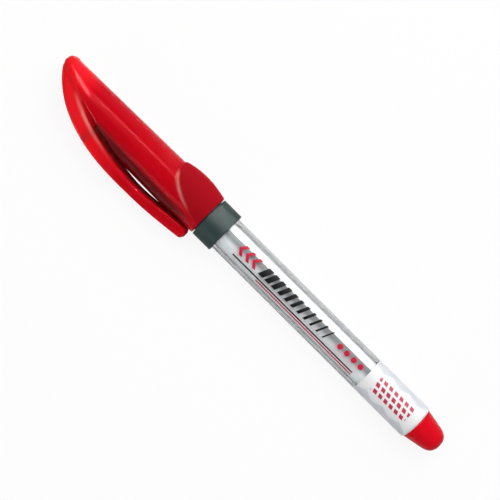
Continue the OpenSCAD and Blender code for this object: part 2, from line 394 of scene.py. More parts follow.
# Barrel
# A clear tube moulded in polystyrene, polished inside and out, so the film shows through it. Its rear rim
# is chamfered and left matt, a shallow seat takes the label, and its thinner front end is pressed into the
# front section.
BORE_R = 4.2
SPIGOT_R = 4.85
LABEL_SEAT_R = 5.05
RIM_CHAMFER = 0.4
RIM_EDGE = 0.15
CHAMFER_EDGE = 0.2
LABEL_SEAT_EDGE = 0.02
SPIGOT_ROOT_EDGE = 0.05
SPIGOT_EDGE = 0.2
RIM_RELIEF = 0.01
CLEAR_IOR = 1.49
CLEAR = (0.95, 0.965, 0.975, 1)
CLEAR_HAZY = (0.943, 0.958, 0.968, 1)
CLEAR_SIDE_SHADE = (0.32, 0.33, 0.34, 1)
CLEAR_SHINE = (0.3, 0.3, 0.3, 1)
RIM_PALE = (0.86, 0.87, 0.88, 1)
RIM_GREY = (0.78, 0.79, 0.8, 1)

barrel_low, barrel_high = reach("barrel")
barrel_r = barrel_high.z
label_low, label_high = reach("label")
collar_low, collar_high = reach("front_section")
barrel = turned("clear_barrel", [
    (barrel_low.x, BORE_R, RIM_EDGE),
    (barrel_low.x, barrel_r - RIM_CHAMFER, RIM_EDGE),
    (barrel_low.x + RIM_CHAMFER, barrel_r, CHAMFER_EDGE),
    (label_low.x, barrel_r, LABEL_SEAT_EDGE),
    (label_low.x, LABEL_SEAT_R, LABEL_SEAT_EDGE),
    (label_high.x, LABEL_SEAT_R, LABEL_SEAT_EDGE),
    (label_high.x, barrel_r, LABEL_SEAT_EDGE),
    (collar_low.x, barrel_r, SPIGOT_ROOT_EDGE),
    (collar_low.x, SPIGOT_R, SPIGOT_ROOT_EDGE),
    (barrel_high.x, SPIGOT_R, SPIGOT_EDGE),
    (barrel_high.x, BORE_R, RIM_EDGE),
])


def clear_finish():
    """Clear polished plastic, faintly hazy; its sides are greyed by painted shade and thicker plastic."""
    finish = Finish("clear_polystyrene", {
        "Roughness": 0.0, "Transmission Weight": 1.0, "IOR": CLEAR_IOR, "Specular Tint": CLEAR_SHINE})
    haze = finish.place.stretched(0.2, 2, 2).noise(1.5, 3.0).rising(0.45, 0.8)
    shaded_sides = finish.place.node("LayerWeight", None, {"Blend": 0.5}, output="Facing").rising(0.2, 0.45)
    # Painted shade: the sides, where the surface turns away, go grey, partly for the thicker plastic there
    finish.set("Base Color", shaded_sides.between(haze.between(CLEAR, CLEAR_HAZY), CLEAR_SIDE_SHADE))
    return finish


def rim_finish():
    """The same plastic at the rear rim, matt and pale as the tool cut it."""
    finish = Finish("matt_polystyrene", {"Specular IOR Level": 0.3})
    grain = finish.place.noise(6.0)
    finish.set("Base Color", grain.rising(0.3, 0.7).between(RIM_PALE, RIM_GREY))
    finish.set("Roughness", 0.45 + 0.2 * grain)
    finish.set("Normal", grain.bumps(RIM_RELIEF))
    return finish


clear_finish().dress(barrel)
barrel.data.materials.append(rim_finish().material)
rim_number = len(barrel.data.materials) - 1
for face in barrel.data.polygons:
    if face.center.x < label_low.x * MM:
        face.material_index = rim_number

# Clear plastic shades neither the film inside it nor the table
barrel.visible_shadow = False
barrel.visible_diffuse = False
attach(barrel, "pen")
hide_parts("barrel")


# Print on the barrel
# Two colours of screen ink on the outside of the barrel: a row of slanted black bars that grow thinner, red
# chevrons and dots, and a long rule in each colour. The ink stands a few hundredths of a millimetre proud.
INK_LIFT = 0.01
INK_T = 0.03
INK_STEPS = 14
INK_RELIEF = 0.01
MARK_LOW, MARK_HIGH = -1.75, 1.45
MARK_MIDDLE = (MARK_LOW + MARK_HIGH) / 2
BAR_COUNT = 11
BAR_FIRST = 12.2
BAR_PITCH = 2.35
BAR_SLANT = 0.45
BAR_WIDTH = 1.75
BAR_THINNER = 0.13
CHEVRON_COUNT = 3
CHEVRON_FIRST = 21.0
CHEVRON_PITCH = 2.4
CHEVRON_SLANT = 0.8
CHEVRON_WIDTH = 1.1
DOT_COUNT = 4
DOT_FIRST = -16.0
DOT_PITCH = 2.5
DOT_R = 0.8
DOT_END_HALF = 0.01
RULE_END = -23
BLACK_RULE_FROM, BLACK_RULE_AROUND, BLACK_RULE_WIDTH = 21, 2.55, 0.42
RED_RULE_FROM, RED_RULE_AROUND, RED_RULE_WIDTH = 12, 3.3, 0.4
PRINT_BLACK = (0.008, 0.008, 0.009, 1)
PRINT_BLACK_THIN = (0.03, 0.03, 0.032, 1)
PRINT_RED = (0.62, 0.012, 0.05, 1)
PRINT_RED_THIN = (0.7, 0.06, 0.1, 1)


def inked(name, marks):
    """Thin patches wrapped on the barrel. A mark is its low and high reach around, and its two sides."""
    mesh = bmesh.new()
    for low, high, left, right in marks:
        rows = []
        for i in range(INK_STEPS + 1):
            around = low + (high - low) * i / INK_STEPS
            angle = LEAN + around / barrel_r
            row = []
            for radius in (barrel_r + INK_LIFT, barrel_r + INK_LIFT + INK_T):
                for along in (left(around), right(around)):
                    row.append(mesh.verts.new(round_axis(along, radius, angle)))
            rows.append(row)
        for one, two in zip(rows, rows[1:]):
            for a, b in ((0, 2), (2, 3), (3, 1), (1, 0)):
                mesh.faces.new((one[a], one[b], two[b], two[a]))
        for row in (rows[0], rows[-1]):
            mesh.faces.new((row[0], row[2], row[3], row[1]))
    bmesh.ops.recalc_face_normals(mesh, faces=mesh.faces)
    piece = made_piece(name, mesh)
    piece.data.set_sharp_from_angle(angle=SHARP_ANGLE)
    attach(piece, "pen")
    return piece


def bar(start, width):
    """A slanted bar that starts at a place along the barrel."""
    def front(around):
        return start + BAR_SLANT * around
    return (MARK_LOW, MARK_HIGH, lambda around: front(around) - width, front)


def chevron(tip):
    """An arrow-like bend that points to the cap."""
    def front(around):
        return tip - CHEVRON_SLANT * abs(around - MARK_MIDDLE)
    return (MARK_LOW, MARK_HIGH, lambda around: front(around) - CHEVRON_WIDTH, front)


def dot(middle):
    """A round dot, drawn as two half circles."""
    def half(around):
        return math.sqrt(max(DOT_R ** 2 - (around - MARK_MIDDLE) ** 2, DOT_END_HALF ** 2))
    low, high = MARK_MIDDLE - DOT_R, MARK_MIDDLE + DOT_R
    return (low, high, lambda around: middle - half(around), lambda around: middle + half(around))


def rule(start, middle, width):
    """A thin line along the barrel, down to where all the print ends."""
    return (middle - width / 2, middle + width / 2, lambda around: RULE_END, lambda around: start)


bars = [bar(BAR_FIRST - BAR_PITCH * i, BAR_WIDTH - BAR_THINNER * i) for i in range(BAR_COUNT)]
black_rule = rule(BLACK_RULE_FROM, BLACK_RULE_AROUND, BLACK_RULE_WIDTH)
black_print = inked("print_black", bars + [black_rule])
chevrons = [chevron(CHEVRON_FIRST - CHEVRON_PITCH * i) for i in range(CHEVRON_COUNT)]
dots = [dot(DOT_FIRST - DOT_PITCH * i) for i in range(DOT_COUNT)]
red_rule = rule(RED_RULE_FROM, RED_RULE_AROUND, RED_RULE_WIDTH)
red_print = inked("print_red", chevrons + dots + [red_rule])


def ink_finish(name, colour, thin):
    """Screen ink, a little uneven where the mesh of the screen laid it thinner."""
    finish = Finish(name, {"Specular IOR Level": 0.05})
    mottle = finish.place.noise(5.0, 3.0)
    finish.set("Base Color", mottle.rising(0.55, 0.85).between(colour, thin))
    finish.set("Roughness", 0.25 + 0.2 * mottle)
    finish.set("Normal", mottle.bumps(INK_RELIEF))
    return finish


ink_finish("black_ink", PRINT_BLACK, PRINT_BLACK_THIN).dress(black_print)
ink_finish("red_ink", PRINT_RED, PRINT_RED_THIN).dress(red_print)


# Label
# A white plastic film, printed in pale grey and red and wrapped round the rear of the barrel, where it lies
# in a shallow seat. Its two ends meet underneath.
LABEL_EDGE = 0.03
LABEL_FOOT_EDGE = 0.01
LABEL_RELIEF = 0.03
TICK_PITCH = 1.9
TICK_SHARE = 0.64
TICK_SLANT = 0.35
ROW_PITCH = 1.75
ROW_SHARE = 0.62
FIELD_HALF = 2.3
FIELD_FROM, FIELD_TO = 2.4, 14.6
ZIGZAG_PITCH = 6.0
ZIGZAG_DEPTH = 1.6
ZIGZAG_FROM, ZIGZAG_TO = 3.2, 7.5
LABEL_WHITE = (0.93, 0.935, 0.94, 1)
LABEL_DULL = (0.88, 0.89, 0.9, 1)
LABEL_GREY = (0.72, 0.76, 0.81, 1)
LABEL_RED = (0.56, 0.03, 0.08, 1)

label_r = label_high.z
label = turned("wrapped_label", [
    (label_low.x, LABEL_SEAT_R, LABEL_FOOT_EDGE),
    (label_low.x, label_r, LABEL_EDGE),
    (label_high.x, label_r, LABEL_EDGE),
    (label_high.x, LABEL_SEAT_R, LABEL_FOOT_EDGE),
])


def label_finish():
    """White film with a pale zigzag along both edges and rows of short red ticks between them."""
    finish = Finish("printed_label_film", {"Specular IOR Level": 0.2})
    along, across, up = finish.place.parts()
    around = across.math("ARCTAN2", across, up) * label_r - LEAN * label_r
    from_back = along - label_low.x
    wave = abs(from_back.repeated(ZIGZAG_PITCH) / ZIGZAG_PITCH - 0.5) * 2
    zigzag = (abs(around) > ZIGZAG_FROM + ZIGZAG_DEPTH * wave) * (abs(around) < ZIGZAG_TO)
    ticks = (from_back + TICK_SLANT * around).repeated(TICK_PITCH) < TICK_PITCH * TICK_SHARE
    rows = (around + ROW_SHARE * ROW_PITCH / 2).repeated(ROW_PITCH) < ROW_PITCH * ROW_SHARE
    field = (abs(around) < FIELD_HALF) * (from_back > FIELD_FROM) * (from_back < FIELD_TO)
    grain = finish.place.noise(3.0, 3.0)
    white = grain.rising(0.3, 0.8).between(LABEL_WHITE, LABEL_DULL)
    grey = zigzag.between(white, LABEL_GREY)
    finish.set("Base Color", (ticks * rows * field).between(grey, LABEL_RED))
    finish.set("Roughness", 0.25 + 0.15 * grain)
    finish.set("Normal", finish.place.stretched(0.5, 1, 1).noise(0.9).bumps(LABEL_RELIEF))
    return finish


label_finish().dress(label)
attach(label, "pen")
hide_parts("label")


# Rear plug
# A glossy red moulding with a rounded end. Its stem is pressed into the barrel, and a narrow shoulder is
# left between the barrel's rim and the dome's foot. The gate mark in the middle of the end is a dimple.
PLUG_STEM_R = 4.18
PLUG_HOLLOW_R = 2.09
PLUG_FOOT_R = 4.72
PLUG_GAP = 0.1
PLUG_TAPER = 0.33
PLUG_BLUNT = 9
PLUG_FOOT_EDGE = 0.2
PLUG_ROOT_EDGE = 0.05
PLUG_STEM_EDGE = 0.25
DIMPLE_R = 0.7
DIMPLE_DEPTH = 0.12
DOME_STEPS = 22
PEEL_RELIEF = 0.0015
PLUG_DEEP = (0.74, 0.003, 0.012, 1)
PLUG_LIVE = (0.8, 0.005, 0.016, 1)
RED_SHINE = (1.0, 0.18, 0.2, 1)

plug_low, plug_high = reach("rear_plug")
dome_foot = barrel_low.x - PLUG_GAP
dome_len = barrel_low.x - plug_low.x - PLUG_GAP
dome = []
for i in range(DOME_STEPS):
    share = math.cos(math.pi / 2 * (i / DOME_STEPS) ** 2)
    radius = PLUG_FOOT_R * (1 - PLUG_TAPER * share) * math.sqrt(1 - share ** PLUG_BLUNT)
    dip = DIMPLE_DEPTH * max(0, 1 - (radius / DIMPLE_R) ** 2)
    dome.append((dome_foot - dome_len * share + dip, radius, 0))
plug = turned("red_rear_plug", dome + [
    (dome_foot, PLUG_FOOT_R, PLUG_FOOT_EDGE),
    (dome_foot, PLUG_STEM_R, PLUG_ROOT_EDGE),
    (plug_high.x, PLUG_STEM_R, PLUG_STEM_EDGE),
    (plug_high.x, PLUG_HOLLOW_R, PLUG_STEM_EDGE),
    (barrel_low.x, PLUG_HOLLOW_R, PLUG_STEM_EDGE),
    (barrel_low.x, 0, 0),
], closed=False)


def red_finish(name, deep, live, constants):
    """Glossy red plastic: faint flow marks in the colour, a fine orange peel and a few dull rubs."""
    finish = Finish(name, {"Specular IOR Level": 0.12, "Specular Tint": RED_SHINE, **constants})
    flow = finish.place.stretched(0.12, 0.5, 0.5).noise(1.0, 3.0)
    finish.set("Base Color", flow.rising(0.3, 0.7).between(deep, live))
    rubs = finish.place.stretched(1, 0.4, 0.4).noise(2.2, 4.0).rising(0.6, 0.8)
    finish.set("Roughness", 0.13 + 0.12 * rubs)
    finish.set("Normal", finish.place.noise(1.1, 1.0).bumps(PEEL_RELIEF))
    return finish


red_finish("red_plug_gloss", PLUG_DEEP, PLUG_LIVE, {}).dress(plug)
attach(plug, "pen")
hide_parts("rear_plug")


# Front section
# One dark moulding: a collar over the barrel's front end, a seat that the cap pushes over, and a nose whose
# cone grips the nib. Two grooves on the seat let air past as the cap goes on.
COLLAR_LEN = 6.3
SPIGOT_ROOM = 0.02
SEAT_R = 4.95
SEAT_LEN = 9.4
NOSE_R = 3.35
NOSE_LEN = 5.5
CORE_HOLE_R = 3.87
TIP_R = 2.0
GROOVES_BACK = (3.6, 2.2)
GROOVE_DEPTH = 0.22
GROOVE_HALF = 0.35
GROOVE_FLOOR_HALF = 0.2
GROOVE_EDGE = 0.08
COLLAR_EDGE = 0.22
HOLE_EDGE = 0.1
SEAT_ROOT_EDGE = 0.15
SEAT_EDGE = 0.5
NOSE_ROOT_EDGE = 0.4
NOSE_EDGE = 0.8
TIP_EDGE = 0.3
GRAIN_RELIEF = 0.02
DARK_DEEP = (0.019, 0.041, 0.038, 1)
DARK_PALE = (0.024, 0.049, 0.046, 1)

collar_r = collar_high.z
collar_front = collar_low.x + COLLAR_LEN
seat_front = collar_front + SEAT_LEN
nose_front = seat_front + NOSE_LEN
cone_front = collar_high.x
grooves = []
for back in GROOVES_BACK:
    middle = seat_front - back
    grooves += [
        (middle - GROOVE_HALF, SEAT_R, GROOVE_EDGE),
        (middle - GROOVE_FLOOR_HALF, SEAT_R - GROOVE_DEPTH, GROOVE_EDGE),
        (middle + GROOVE_FLOOR_HALF, SEAT_R - GROOVE_DEPTH, GROOVE_EDGE),
        (middle + GROOVE_HALF, SEAT_R, GROOVE_EDGE),
    ]
section = turned("dark_front_section", [
    (collar_low.x, SPIGOT_R + SPIGOT_ROOM, HOLE_EDGE),
    (collar_low.x, collar_r, COLLAR_EDGE),
    (collar_front, collar_r, COLLAR_EDGE),
    (collar_front, SEAT_R, SEAT_ROOT_EDGE),
    *grooves,
    (seat_front, SEAT_R, SEAT_EDGE),
    (seat_front, NOSE_R, NOSE_ROOT_EDGE),
    (nose_front, NOSE_R, NOSE_EDGE),
    (cone_front, TIP_R, TIP_EDGE),
    (cone_front, NIB_ROOM, HOLE_EDGE),
    (core_high.x, NIB_ROOM, HOLE_EDGE),
    (core_high.x, CORE_HOLE_R, HOLE_EDGE),
    (barrel_high.x, CORE_HOLE_R, HOLE_EDGE),
    (barrel_high.x, SPIGOT_R + SPIGOT_ROOM, HOLE_EDGE),
])


def dark_finish():
    """Dark green-grey plastic with the fine even grain of a spark-eroded mould."""
    finish = Finish("dark_satin_plastic", {"Specular IOR Level": 0.1})
    grain = finish.place.noise(9.0)
    cloud = finish.place.noise(0.5, 3.0)
    finish.set("Base Color", cloud.rising(0.3, 0.7).between(DARK_DEEP, DARK_PALE))
    finish.set("Roughness", 0.33 + 0.12 * cloud)
    finish.set("Normal", grain.bumps(GRAIN_RELIEF))
    return finish


dark_finish().dress(section)
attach(section, "pen")
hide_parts("front_section")


# Nib
# A rod of hard bonded fibre, ground to a rounded point. It is pressed through the cone, and its tail draws
# ink from the core.
NIB_SHOULDER = 1.0
NIB_POINT_R = 0.45
NIB_POINT_LEN = 0.25
NIB_END_R = 0.12
NIB_TAIL_EDGE = 0.15
NIB_SHOULDER_EDGE = 0.6
NIB_POINT_EDGE = 0.35
NIB_END_EDGE = 0.1
NIB_FIBRES_PER_MM = 9
NIB_WET = (0.3, 0.006, 0.014, 1)
NIB_DRY = (0.48, 0.02, 0.035, 1)

nib_low, nib_high = reach("nib")
nib_r = nib_high.z
nib = turned("fibre_nib", [
    (nib_low.x, 0, 0),
    (nib_low.x, nib_r, NIB_TAIL_EDGE),
    (cone_front + NIB_SHOULDER, nib_r, NIB_SHOULDER_EDGE),
    (nib_high.x - NIB_POINT_LEN, NIB_POINT_R, NIB_POINT_EDGE),
    (nib_high.x, NIB_END_R, NIB_END_EDGE),
    (nib_high.x, 0, 0),
], closed=False)
fibre_finish("inked_nib_fibre", NIB_WET, NIB_DRY, NIB_FIBRES_PER_MM).dress(nib)
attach(nib, "pen")
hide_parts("nib")


# Inner cap
# A thimble of natural polyethylene that seals on the nose, so the nib stays wet. Its flange is snapped
# behind a step inside the cap, where it can turn.
FLANGE_LEN = 1.0
INNER_END = 1.0
INNER_R = 4.15
SEAL_R = 3.4
SEAL_END_EDGE = 0.6
SEAL_MOUTH_EDGE = 0.3
FLANGE_EDGE = 0.2
INNER_EDGE = 0.5
SEAL_RELIEF = 0.02
SEAL_DEPTH = 0.5
NATURAL = (0.8, 0.77, 0.74, 1)
NATURAL_STAINED = (0.74, 0.5, 0.5, 1)

inner_low, inner_high = reach("inner_cap")
flange_r = inner_high.z
inner = turned("sealing_inner_cap", [
    (inner_high.x - INNER_END, 0, 0),
    (inner_high.x - INNER_END, SEAL_R, SEAL_END_EDGE),
    (inner_low.x, SEAL_R, SEAL_MOUTH_EDGE),
    (inner_low.x, flange_r, FLANGE_EDGE),
    (inner_low.x + FLANGE_LEN, flange_r, FLANGE_EDGE),
    (inner_low.x + FLANGE_LEN, INNER_R, FLANGE_EDGE),
    (inner_high.x, INNER_R, INNER_EDGE),
    (inner_high.x, 0, 0),
], closed=False)


def natural_finish():
    """Uncoloured polyethylene: milky, a little warm, dull, with pink stains of ink."""
    finish = Finish("natural_polyethylene", {"Subsurface Weight": 0.3, "Subsurface Scale": SEAL_DEPTH * MM})
    stain = finish.place.noise(0.7, 4.0).rising(0.55, 0.75)
    finish.set("Base Color", stain.between(NATURAL, NATURAL_STAINED))
    finish.set("Roughness", 0.4 + 0.15 * finish.place.noise(4.0))
    finish.set("Normal", finish.place.noise(2.0).bumps(SEAL_RELIEF))
    return finish


natural_finish().dress(inner)
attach(inner, "cap_liner")
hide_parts("inner_cap")


# Cap and clip
# One moulding in glossy red plastic. A round body swells into a socket at its mouth and is scooped flat
# under the clip, a bowed strip that springs from the tip and ends in a bead that almost touches the socket.
# The bead is free, and the strip is parted from the body at its root.
MOUTH_GAP = 0.3
CAP_LEN = 55.7
CAP_R = 6.1
CAP_TAPER = 0.72
CAP_TIP_R = CAP_R - CAP_TAPER
TIP_ROUND = 2.33
GRID = 0.28
CURVE_STEPS = 60

# The moulding is drawn in its own axes: along from the mouth, out towards the clip, and wide across it
flex = next(joint for joint in frame["joints"] if joint["name"] == "clip_flex")
mouth = collar_front + MOUTH_GAP
wide_way = -np.array(flex["axis"])
along_way = np.array([1.0, 0.0, 0.0])
out_way = np.cross(wide_way, along_way)


def bend(a, b, c, d, share):
    """A place, or a row of places, on the smooth curve with these four handles."""
    t = np.asarray(share, float)[..., None]
    return (1 - t) ** 3 * a + 3 * (1 - t) ** 2 * t * b + 3 * (1 - t) * t ** 2 * c + t ** 3 * d


def arc(centre, radius, start, finish):
    """Places on a round arc, between two angles in degrees."""
    angles = np.radians(np.linspace(start, finish, CURVE_STEPS))
    return centre + radius * np.stack([np.cos(angles), np.sin(angles)], 1)


# The strip from its side: it leaves the tip's round at the chin, bows up to the belly and ends in the bead
DIAGONAL = 0.707
CHIN_TURN = 45
CHIN_FLAT = 1.0
CREASE_BACK = 1.37
CREASE_DOWN = 0.15
BELLY = 18.6
BELLY_OUT = 10.75
BELLY_IN = 7.75
BEAD_R = 1.45
BEAD = np.array([1.95, 8.0])
OUTER_LEAD, OUTER_RUN = 0.45, 0.27
INNER_TURN = 38.5
INNER_LEAD, INNER_RUN = 0.45, 0.16
OVER_TAIL_LEAD, OVER_TAIL_RUN = 0.4, 0.3
OVER_TAIL_RISE = 0.6
UNDER_TAIL_LEAD, UNDER_TAIL_RUN = 0.35, 0.35


def strip_curve(start, turn, lead, run, belly, share):
    """One side of the strip, from the cap's tip up to the belly. It starts at an angle in degrees."""
    slope = math.radians(turn)
    span = start[0] - belly[0]
    away = np.array([-math.cos(slope), math.sin(slope)])
    return bend(start, start + lead * span * away, belly + np.array([run * span, 0]), belly, share)


nose = np.array([CAP_LEN - TIP_ROUND, TIP_ROUND - CAP_TIP_R])
chin = nose + TIP_ROUND * np.array([DIAGONAL, DIAGONAL]) + CHIN_FLAT * np.array([-DIAGONAL, DIAGONAL])
crease = nose - np.array([CREASE_BACK, CREASE_DOWN])
belly_outer = np.array([BELLY, BELLY_OUT])
belly_inner = np.array([BELLY, BELLY_IN])
shares = np.linspace(0, 1, CURVE_STEPS)


def outer_side(share):
    return strip_curve(chin, CHIN_TURN, OUTER_LEAD, OUTER_RUN, belly_outer, share)


def inner_side(share):
    return strip_curve(crease, INNER_TURN, INNER_LEAD, INNER_RUN, belly_inner, share)


tail = BELLY - BEAD[0]
bead_top = BEAD + np.array([0, BEAD_R])
bead_bump = BEAD - np.array([0, BEAD_R])
over_tail = bend(belly_outer, belly_outer - np.array([OVER_TAIL_LEAD * tail, 0]),
                 bead_top + np.array([OVER_TAIL_RUN * tail, OVER_TAIL_RISE]), bead_top, shares)
under_tail = bend(bead_bump, bead_bump + np.array([UNDER_TAIL_LEAD * tail, 0]),
                  belly_inner - np.array([UNDER_TAIL_RUN * tail, 0]), belly_inner, shares)
strip_outline = np.concatenate([
    arc(nose, TIP_ROUND, -90, CHIN_TURN),
    outer_side(shares),
    over_tail[1:],
    arc(BEAD, BEAD_R, 90, 270)[1:],
    under_tail[1:],
    inner_side(1 - shares)[1:],
])

# The grid on which the distance to each surface is worked out
low_corner = np.array([-0.95, -8.4, -7.6])
high_corner = np.array([56.7, 11.9, 7.6])
along = np.arange(low_corner[0], high_corner[0], GRID)[:, None, None]
out = np.arange(low_corner[1], high_corner[1], GRID)[None, :, None]
wide = np.arange(low_corner[2], high_corner[2] + GRID, GRID)[None, None, :]


def outline_distance(one, two, points):
    """How far each place lies outside a closed outline, and below zero inside it."""
    nearest = np.full(np.broadcast(one, two).shape, np.inf)
    inside = np.zeros(nearest.shape, bool)
    for (a, b), (c, d) in zip(points, np.roll(points, -1, axis=0)):
        if a == c and b == d:
            continue
        square = (c - a) ** 2 + (d - b) ** 2
        share = np.clip(((one - a) * (c - a) + (two - b) * (d - b)) / square, 0, 1)
        nearest = np.minimum(nearest, np.hypot(one - a - share * (c - a), two - b - share * (d - b)))
        if b != d:
            inside ^= ((b > two) != (d > two)) & (one < a + (two - b) / (d - b) * (c - a))
    return np.where(inside, -nearest, nearest)


def beside_plan(half):
    """How far the grid lies outside an outline in plan, given as its half on one side of the middle."""
    points = np.concatenate([half, half[::-1] * np.array([1, -1])])
    return outline_distance(along[:, :, 0], wide[0], points)[:, None, :]


def beside_profile(points):
    """How far the grid lies outside an outline that is seen from the side."""
    return outline_distance(along[:, :, 0], out[:, :, 0], points)[:, :, None]


def ramp(value, low, high):
    """Runs straight from 0 to 1 as a value goes from low to high."""
    return np.clip((value - low) / (high - low), 0, 1)


def joined(a, b, fillet):
    """Two solids as one, with a fillet of that radius where they meet."""
    inset = np.hypot(np.maximum(fillet - a, 0), np.maximum(fillet - b, 0))
    return np.maximum(fillet, np.minimum(a, b)) - inset


def trimmed(a, b, edge):
    """What two solids share, with the edge between them rounded to that radius."""
    excess = np.hypot(np.maximum(edge + a, 0), np.maximum(edge + b, 0))
    return np.minimum(-edge, np.maximum(a, b)) + excess


# The body: a slim cone, a little egg-shaped towards the clip, narrowed to a blunt point and scooped flat.
# Its outline in plan has slack up to PLAN_SETS_IN and none from PLAN_WHOLE on, so it narrows only the point.
EGG_FROM, EGG_TO = 4.0, 12.0
EGG_SHARE = 0.1
PLAN_FROM = -9
PLAN_SLACK = 4
PLAN_SETS_IN, PLAN_WHOLE = 38, 46
POINT_FROM = 40
POINT_LEN = 15.9
POINT_HALF = 5.9
POINT_EDGE = 0.8
SCOOP_FROM = 26.5
SCOOP_OUT = 5.8
SCOOP_SLOPE = math.radians(17)
SCOOP_EDGE = 0.4

egg = 1 - EGG_SHARE * ramp(along, EGG_FROM, EGG_TO)
from_axis = np.hypot(out, wide)
cone_r = CAP_R - CAP_TAPER * along / CAP_LEN
round_body = np.hypot(np.where(out > 0, out * egg, out), wide) - cone_r
quarter = shares * math.pi / 2
point_half = np.stack([POINT_FROM + POINT_LEN * np.sin(quarter), POINT_HALF * np.cos(quarter)], 1)
body_plan = beside_plan(np.concatenate([[[PLAN_FROM, POINT_HALF]], point_half]))
scoop = (out - SCOOP_OUT + (along - SCOOP_FROM) * math.tan(SCOOP_SLOPE)) * math.cos(SCOOP_SLOPE)
body = trimmed(round_body, along - CAP_LEN, TIP_ROUND)
body = trimmed(body, body_plan - PLAN_SLACK * ramp(along, PLAN_WHOLE, PLAN_SETS_IN) ** 2, POINT_EDGE)
body = trimmed(body, scoop, SCOOP_EDGE)

# The socket's swell, only on the back. It ends in an arch that stands ARCH_LEN from the mouth at the back,
# and runs down on both sides to meet the mouth ARCH_SPAN further out.
SWELL_BACK = 7.25
SWELL_SHIFT = 0.6
SWELL_AT = 7.2
SWELL_CURVE = 24
SWELL_EDGE = 0.5
SWELL_FILLET = 0.6
ARCH_LEN = 14.0
ARCH_BACK = 7.0
ARCH_SPAN = 9.4
ARCH_POWER = 2.5
ARCH_LIMIT = 2

swell_r = np.hypot(out + SWELL_SHIFT, wide) + SWELL_CURVE - SWELL_BACK + SWELL_SHIFT
swell = np.hypot(swell_r, along - SWELL_AT) - SWELL_CURVE
arch_share = np.clip((out + ARCH_BACK) / ARCH_SPAN, 0, ARCH_LIMIT)
arch_slope = ARCH_LEN * ARCH_POWER / ARCH_SPAN * arch_share ** (ARCH_POWER - 1)
arch = (along - ARCH_LEN * (1 - arch_share ** ARCH_POWER)) / np.sqrt(1 + arch_slope ** 2)
body = joined(body, trimmed(swell, arch, SWELL_EDGE), SWELL_FILLET)

# The strip of the clip, wrapped over the tip and narrower towards its bead
STRIP_END_HALF = 2.4
STRIP_ROOT_HALF = 4.4
STRIP_TAPER_FROM, STRIP_TAPER_TO = 6.0, 46.0
STRIP_TIP_LEN = 9.8
STRIP_EDGE = 0.5
STRIP_EDGE_GROWTH = 0.4
STRIP_EDGE_FROM, STRIP_EDGE_TO = 5, 20
STRIP_BACK_EDGE = 0.5
ROOT_FILLET = 0.8
ROOT_FILLET_FROM, ROOT_FILLET_TO = 30, 42

taper = np.linspace(BEAD[0], STRIP_TAPER_TO, CURVE_STEPS)
taper_share = ramp(taper, STRIP_TAPER_FROM, STRIP_TAPER_TO)
taper_half = STRIP_END_HALF + (STRIP_ROOT_HALF - STRIP_END_HALF) * taper_share ** 2 * (3 - 2 * taper_share)
end_half = np.stack([BEAD[0] - BEAD_R * np.cos(quarter), STRIP_END_HALF * np.sin(quarter)], 1)
tip_along = STRIP_TAPER_TO + STRIP_TIP_LEN * np.sin(quarter)
tip_half = np.stack([tip_along, STRIP_ROOT_HALF * np.cos(quarter)], 1)
strip_plan = beside_plan(np.concatenate([end_half, np.stack([taper, taper_half], 1)[1:], tip_half[1:]]))
strip_side = beside_profile(strip_outline)
strip_edge = STRIP_EDGE + STRIP_EDGE_GROWTH * ramp(along, STRIP_EDGE_FROM, STRIP_EDGE_TO)
back_limit = np.hypot(np.minimum(out, 0), wide) - cone_r
strip = trimmed(trimmed(strip_side, strip_plan, strip_edge), back_limit, STRIP_BACK_EDGE)
moulding = joined(body, strip, ROOT_FILLET * ramp(along, ROOT_FILLET_FROM, ROOT_FILLET_TO))

# A web at the strip's root, set in from its sides, so the slot starts further from the tip
WEB_FROM, WEB_WIDE, WEB_TO = 38.0, 45.0, 49.0
WEB_REACH = 2.3
WEB_SET_IN = 0.4
WEB_NARROWS = 2.0
WEB_POWER = 1.5
WEB_EDGE = 0.3
WEB_FILLET = 0.6

web_set_in = WEB_SET_IN + WEB_NARROWS * ramp(along, WEB_WIDE, WEB_FROM) ** WEB_POWER
web = np.maximum(np.maximum(scoop, strip_side) - WEB_REACH, strip_plan + web_set_in)
web_ends = np.abs(along - (WEB_FROM + WEB_TO) / 2) - (WEB_TO - WEB_FROM) / 2
moulding = joined(moulding, trimmed(web, web_ends, WEB_EDGE), WEB_FILLET)

# Highlights are painted pale along edges: the arch's rim, and the strip's inner edges beside its root.
# EDGE_CUT is how far the rounding takes that edge in from its corner.
HIGHLIGHT_WIDTH = 0.35
EDGE_CUT = 0.37
EDGE_HIGHLIGHT = 0.8
EDGE_HIGHLIGHT_FROM, EDGE_HIGHLIGHT_WHOLE = 26, 40
EDGE_HIGHLIGHT_FADES, EDGE_HIGHLIGHT_TO = 42, 48
EDGE_HIGHLIGHT_DEPTH = 0.2
ARCH_HIGHLIGHT = 0.7
ARCH_HIGHLIGHT_FROM, ARCH_HIGHLIGHT_WHOLE = 4, 9
ARCH_HIGHLIGHT_LOW, ARCH_HIGHLIGHT_HIGH = -4.7, -3.7

